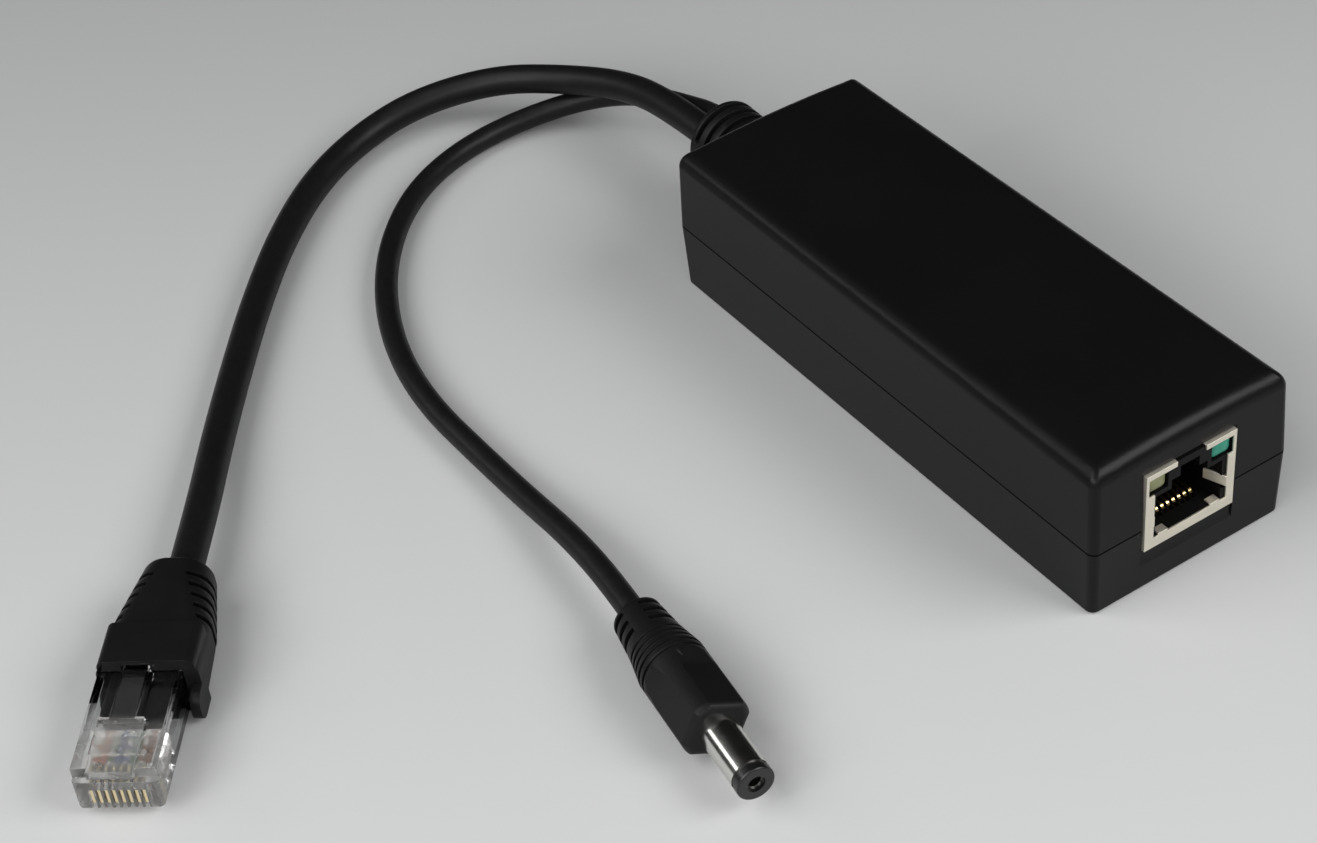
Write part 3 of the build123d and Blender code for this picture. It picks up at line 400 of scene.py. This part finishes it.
def shape_shell(work):
    """The shell with its tighter corners, and its far side and cord end drawn in by the same trim."""
    tighten_corners(work)
    for corner in work.verts:
        beyond = corner.co.y / MM - FAR_SIDE_START
        if beyond > 0:
            corner.co.y -= SHELL_TRIM * beyond / (HALF_WIDTH - FAR_SIDE_START) * MM
        beyond = -corner.co.x / MM - CORD_END_START
        if beyond > 0:
            corner.co.x += SHELL_TRIM * beyond / (HALF_LENGTH - CORD_END_START) * MM


def break_edges(node, name, radius, forward=0.0, reshape=None):
    """The piece again, with every sharp edge rounded off by a small radius."""
    source = frame["nodes"][node]
    mesh = source.data.copy()
    work = bmesh.new()
    work.from_mesh(mesh)
    bmesh.ops.remove_doubles(work, verts=work.verts, dist=SAME_POINT * MM)
    bmesh.ops.dissolve_limit(work, angle_limit=FLAT_ANGLE, verts=work.verts, edges=work.edges)
    if reshape is not None:
        reshape(work)
        bmesh.ops.remove_doubles(work, verts=work.verts, dist=SAME_CORNER * MM)
    for face in work.faces:
        face.smooth = True
    work.to_mesh(mesh)
    work.free()
    piece = bpy.data.objects.new(name, mesh)
    piece.matrix_world = Matrix.Translation((forward * MM, 0.0, 0.0)) @ source.matrix_world
    bpy.context.scene.collection.objects.link(piece)
    bevel = piece.modifiers.new("edges", "BEVEL")
    bevel.width = radius * MM
    bevel.segments = EDGE_STEPS
    bevel.limit_method = "ANGLE"
    bevel.angle_limit = EDGE_ANGLE
    bevel.use_clamp_overlap = True
    piece.modifiers.new("faces", "WEIGHTED_NORMAL").weight = LARGE_FACES_LEAD
    bpy.context.view_layer.update()
    ready = bpy.data.meshes.new_from_object(piece.evaluated_get(bpy.context.evaluated_depsgraph_get()))
    piece.modifiers.clear()
    piece.data = ready
    stand_for(piece, node)


def stand_for(piece, node):
    """The piece is shown in place of the plain one, in the same finish."""
    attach(piece, "root")
    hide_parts(node)
    subpart = next(part for part in frame["record"]["subparts"] if part["node"] == node)
    cover(piece, finishes[subpart["material_slot"]])


def build_lens(node, name, centre_y):
    """A lens that fills its window, with a pillow-shaped front."""
    corners = []
    faces = []
    for ring in range(LENS_RINGS + 1):
        lean = math.pi / 2 * ring / LENS_RINGS
        for spoke in range(LENS_SPOKES):
            turn = 2 * math.pi * spoke / LENS_SPOKES
            across, upward = math.cos(turn), math.sin(turn)
            squared = abs(across) ** LENS_FULLNESS + abs(upward) ** LENS_FULLNESS
            reach = math.sin(lean) / squared ** (1 / LENS_FULLNESS)
            corners.append((
                (LENS_FRONT - LENS_CROWN * (1 - math.cos(lean))) * MM,
                (centre_y + LENS_WIDTH / 2 * reach * across) * MM,
                (LENS_MIDDLE + LENS_HEIGHT / 2 * reach * upward) * MM,
            ))
    corners += [(LENS_BACK * MM, y, z) for _, y, z in corners[-LENS_SPOKES:]]
    for first in range(0, (LENS_RINGS + 1) * LENS_SPOKES, LENS_SPOKES):
        for spoke in range(LENS_SPOKES):
            after = (spoke + 1) % LENS_SPOKES
            faces.append((
                first + spoke, first + LENS_SPOKES + spoke, first + LENS_SPOKES + after, first + after,
            ))
    faces.append(tuple(range((LENS_RINGS + 1) * LENS_SPOKES, (LENS_RINGS + 2) * LENS_SPOKES)))
    mesh = bpy.data.meshes.new(name)
    mesh.from_pydata(corners, [], faces)
    mesh.validate()
    for face in mesh.polygons:
        face.use_smooth = True
    piece = bpy.data.objects.new(name, mesh)
    bpy.context.scene.collection.objects.link(piece)
    stand_for(piece, node)


break_edges("lower_shell", "lower_case_moulding", 0.08, reshape=shape_shell)
break_edges("upper_shell", "upper_case_moulding", 0.08, reshape=shape_shell)
break_edges("plug_boot", "plug_boot_moulding", 0.16)
break_edges("plug_body", "plug_body_moulding", 0.10)
break_edges("power_plug_grip", "power_grip_moulding", 0.16)
break_edges("cable_gland", "gland_moulding", 0.25)
break_edges("jack_shield", "jack_shield_sheet", 0.06, JACK_FORWARD)
break_edges("jack_body", "jack_insulator_body", 0.06, JACK_FORWARD)
build_lens("jack_lamp_yellow", "lamp_lens_yellow", -6.72)
build_lens("jack_lamp_green", "lamp_lens_green", 4.82)


# Cords

def build_cord(name, route, diameter, material):
    """A free cord: one smooth line with the route's points as its controls."""
    curve = bpy.data.curves.new(name, "CURVE")
    curve.dimensions = "3D"
    curve.resolution_u = 16
    curve.bevel_depth = diameter * MM / 2
    curve.bevel_resolution = 8
    curve.use_fill_caps = True
    line = curve.splines.new("NURBS")
    line.points.add(len(route) - 1)
    for point, place in zip(line.points, route):
        point.co = (*(part * MM for part in place), 1.0)
    line.order_u = 3
    line.use_endpoint_u = True
    cord = bpy.data.objects.new(name, curve)
    bpy.context.scene.collection.objects.link(cord)
    curve.materials.append(material)
    return cord


network_cord = build_cord(
    "network_cord_jacket", NETWORK_ROUTE, NETWORK_CORD_DIAMETER, jacket_finish("network_jacket", 160.0)
)
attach(network_cord, "root")
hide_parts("network_cord")
plug_pieces = ["plug_boot_moulding", "plug_body_moulding", "plug_jacket_end"]
plug_pieces += [f"plug_{kind}_{way}" for kind in ("contact", "wire") for way in range(1, 9)]

power_cord = build_cord(
    "power_cord_jacket", POWER_ROUTE, POWER_CORD_DIAMETER, jacket_finish("power_jacket", 220.0)
)
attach(power_cord, "root")
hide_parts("power_cord")


# Stage, light and camera

FLOOR_HALF = 2.5
FLOOR_DROP = 0.0001
# The floor is painted darker away from the camera and lighter towards it, a painted falloff of the light
# over the floor.
FAR_FLOOR_PAINTED_SHADE = (0.43, 0.435, 0.435)
NEAR_FLOOR_PAINTED_LIGHT = (0.575, 0.58, 0.58)
FLOOR_MIDDLE = 0.6
PAINTED_FALLOFF_RISE = 3.9
TOWARDS_CAMERA = (0.87, -0.49)
UNSEEN_WORLD = (0.008, 0.008, 0.008)
SEEN_WORLD = (0.2, 0.2, 0.2)
CLOSEST_SEEN = 0.01


def build_floor():
    mesh = bpy.data.meshes.new("floor")
    corners = [(-1, -1), (1, -1), (1, 1), (-1, 1)]
    mesh.from_pydata([(x * FLOOR_HALF, y * FLOOR_HALF, -FLOOR_DROP) for x, y in corners], [], [(0, 1, 2, 3)])
    floor = bpy.data.objects.new("floor", mesh)
    bpy.context.scene.collection.objects.link(floor)
    finish = Finish("floor_with_painted_falloff", Roughness=0.6, Specular_IOR_Level=0.3)
    # Painted light: the floor's colour grows lighter towards the camera, standing in for the falloff of the
    # light.
    nearer = TOWARDS_CAMERA[0] * finish.coordinate(0) + TOWARDS_CAMERA[1] * finish.coordinate(1)
    finish.feed("Base Color", finish.mix(FLOOR_MIDDLE + PAINTED_FALLOFF_RISE * nearer, FAR_FLOOR_PAINTED_SHADE, NEAR_FLOOR_PAINTED_LIGHT))
    mesh.materials.append(finish.material)


def add_softbox(name, place, aim, width, height, watts):
    light = bpy.data.lights.new(name, "AREA")
    light.shape = "RECTANGLE"
    light.size = width
    light.size_y = height
    light.energy = watts
    lamp = bpy.data.objects.new(name, light)
    lamp.location = place
    lamp.rotation_euler = (Vector(place) - Vector(aim)).to_track_quat("Z", "Y").to_euler()
    bpy.context.scene.collection.objects.link(lamp)


def set_world():
    """Nearly dark, but pale where it is seen directly or through clear pieces."""
    world = bpy.data.worlds.new("studio")
    world.use_nodes = True
    tree = world.node_tree
    background = tree.nodes["Background"]
    path = tree.nodes.new("ShaderNodeLightPath")
    mix = tree.nodes.new("ShaderNodeMix")
    mix.data_type = "RGBA"
    seen = tree.nodes.new("ShaderNodeMath")
    seen.operation = "MAXIMUM"
    tree.links.new(path.outputs["Is Camera Ray"], seen.inputs[0])
    tree.links.new(path.outputs["Is Transmission Ray"], seen.inputs[1])
    tree.links.new(seen.outputs[0], mix.inputs[0])
    mix.inputs[6].default_value = colour(UNSEEN_WORLD)
    mix.inputs[7].default_value = colour(SEEN_WORLD)
    tree.links.new(mix.outputs[2], background.inputs["Color"])
    bpy.context.scene.world = world


def photograph_camera():
    yaw, pitch, roll = (math.radians(turn) for turn in (CAMERA_YAW, CAMERA_PITCH, CAMERA_ROLL))
    back = Vector((
        math.sin(yaw) * math.cos(pitch),
        -math.cos(yaw) * math.cos(pitch),
        math.sin(pitch),
    ))
    level = Vector((math.cos(yaw), math.sin(yaw), 0.0))
    upright = back.cross(level)
    right = math.cos(roll) * level + math.sin(roll) * upright
    up = math.cos(roll) * upright - math.sin(roll) * level
    data = bpy.data.cameras.new("photograph")
    data.sensor_fit = "HORIZONTAL"
    data.sensor_width = SENSOR_WIDTH
    data.lens = FOCAL_PIXELS / IMAGE_WIDTH * SENSOR_WIDTH
    data.clip_start = CLOSEST_SEEN
    camera = bpy.data.objects.new("photograph", data)
    turn = Matrix((right, up, back)).transposed().to_4x4()
    camera.matrix_world = Matrix.Translation(Vector(CAMERA_EYE) * MM) @ turn
    bpy.context.scene.collection.objects.link(camera)
    bpy.context.scene.camera = camera


build_floor()
add_softbox("overhead_softbox", (0.20, -0.30, 0.90), (0.0, -0.08, 0.0), 0.90, 0.90, 0.7)
add_softbox("left_softbox", (-0.20, -0.60, 0.70), (0.0, -0.08, 0.0), 0.60, 0.60, 3.2)
add_softbox("right_softbox", (0.50, 0.34, 0.55), (0.0, -0.08, 0.0), 0.56, 0.40, 4.4)
add_softbox("side_softbox", (0.26, -0.78, 0.48), (0.0, -0.06, 0.0), 0.80, 0.36, 4.8)
add_softbox("rim_softbox", (-0.50, -0.52, 0.31), (0.0, -0.04, 0.0), 0.30, 0.14, 0.4)
add_softbox("end_softbox", (0.80, -0.30, 0.50), (0.0, -0.06, 0.0), 0.70, 0.50, 1.6)
set_world()
photograph_camera()
bpy.context.scene.view_settings.view_transform = "Standard"
